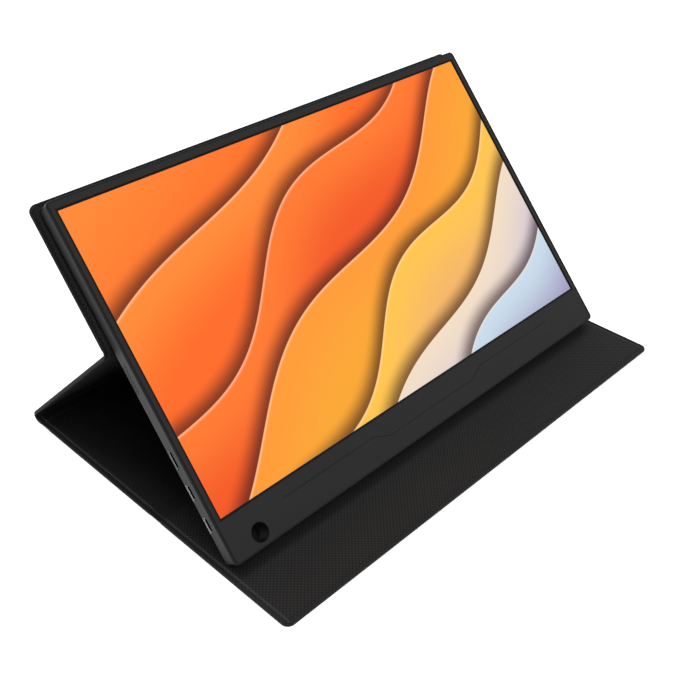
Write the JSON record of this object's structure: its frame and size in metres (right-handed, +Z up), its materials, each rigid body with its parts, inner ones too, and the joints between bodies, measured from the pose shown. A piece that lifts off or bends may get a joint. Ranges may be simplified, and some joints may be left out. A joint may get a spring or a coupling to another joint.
{
  "type": "portable monitor with folding cover",
  "caption": "Slim portable monitor held by magnets on a leather folding cover that stands as an easel and folds shut over the screen.",
  "frame": {"origin": "centre of the box round the whole object, on the table under the cover", "axes": "+X along the fold lines, to the right as the viewer faces the screen; +Y away from the viewer; +Z up"},
  "size_m": [0.363, 0.2476, 0.1765],
  "materials": {
    "housing_alloy": "satin bead-blasted, dark grey",
    "frame_plastic": "fine matte",
    "screen": null,
    "diffuser_film": "matte film",
    "light_acrylic": "polished",
    "tray_alloy": "stamped sheet",
    "screw_steel": "bright",
    "circuit_board": "solder mask",
    "chip_plastic": "moulded",
    "shield_tin": "tinned sheet",
    "socket_steel": "bright nickel",
    "cable_film": "polyimide film",
    "magnet_nickel": "nickel-plated",
    "black_plastic": "fine matte",
    "cover_leather": "black, fine cross-hatch grain",
    "cover_lining": "black, fine cross-hatch grain",
    "stiffener": "pressed fibre board"
  },
  "bodies": {
    "base": {"rear_half_skin": "cover_leather", "rear_half_board": "stiffener", "rear_half_lining": "cover_lining"},
    "front_flap": {"front_half_skin": "cover_leather", "front_half_board": "stiffener", "front_half_lining": "cover_lining", "closing_magnets": "magnet_nickel"},
    "spine": {"spine_skin": "cover_leather", "spine_board": "stiffener", "spine_lining": "cover_lining"},
    "support": {"support_skin": "cover_leather", "support_board": "stiffener", "support_lining": "cover_lining", "support_magnets": "magnet_nickel"},
    "back_panel": {"back_panel_skin": "cover_leather", "back_panel_board": "stiffener", "back_panel_lining": "cover_lining", "back_panel_magnets": "magnet_nickel"},
    "monitor": {"rear_shell": "housing_alloy", "front_frame": "frame_plastic", "lcd_glass": "screen", "diffuser_sheets": "diffuser_film", "light_guide": "light_acrylic", "mirror_sheet": "diffuser_film", "light_strip": "light_acrylic", "panel_tray": "tray_alloy", "panel_screws": "screw_steel", "main_board": "circuit_board", "board_screws": "screw_steel", "board_chips": "chip_plastic", "chip_shield": "shield_tin", "usb_c_socket_lower": "socket_steel", "usb_c_socket_upper": "socket_steel", "mini_hdmi_socket": "socket_steel", "display_cable": "cable_film", "button_cable": "cable_film", "speaker_left": "chip_plastic", "speaker_right": "chip_plastic", "side_board": "circuit_board", "side_switches": "chip_plastic", "headphone_jack": "chip_plastic", "rocker_bracket": "chip_plastic", "housing_magnets": "magnet_nickel", "stand_hole_sleeve": "black_plastic"},
    "power_button": {"power_button": "black_plastic"},
    "menu_rocker": {"menu_rocker": "black_plastic"}
  },
  "joints": [
    {"name": "flap_fold", "type": "hinge", "parent": "base", "child": "front_flap", "pos_m": [0, -0.01082, 0.00125], "axis": [-1, 0, 0], "range_deg": [-90, 0]},
    {"name": "spine_fold", "type": "hinge", "parent": "base", "child": "spine", "pos_m": [0, 0.10758, 0.00125], "axis": [1, 0, 0], "range_deg": [-90, 0]},
    {"name": "support_fold", "type": "hinge", "parent": "spine", "child": "support", "pos_m": [0, 0.12258, 0.00125], "axis": [-1, 0, 0], "range_deg": [-12, 41.6]},
    {"name": "back_fold", "type": "hinge", "parent": "support", "child": "back_panel", "pos_m": [0, 0.02194, 0.10143], "axis": [1, 0, 0], "range_deg": [-25, 86.8]},
    {"name": "magnet_release", "type": "slide", "parent": "back_panel", "child": "monitor", "axis": [0, 0.742, -0.6704], "range_m": [-0.06, 0]},
    {"name": "power_press", "type": "slide", "parent": "monitor", "child": "power_button", "axis": [-1, 0, 0], "range_m": [0, 0.0006], "stiffness_N_per_m": 800, "springref_m": -0.0006},
    {"name": "rocker_tilt", "type": "hinge", "parent": "monitor", "child": "menu_rocker", "pos_m": [0.1737, -0.04682, 0.03418], "axis": [0, -0.742, 0.6704], "range_deg": [-3, 3], "stiffness_Nm_per_rad": 0.05}
  ],
  "couplings": [
    {"joint": "support_fold", "follows": "back_fold", "ratio": 0.4791}
  ]
}
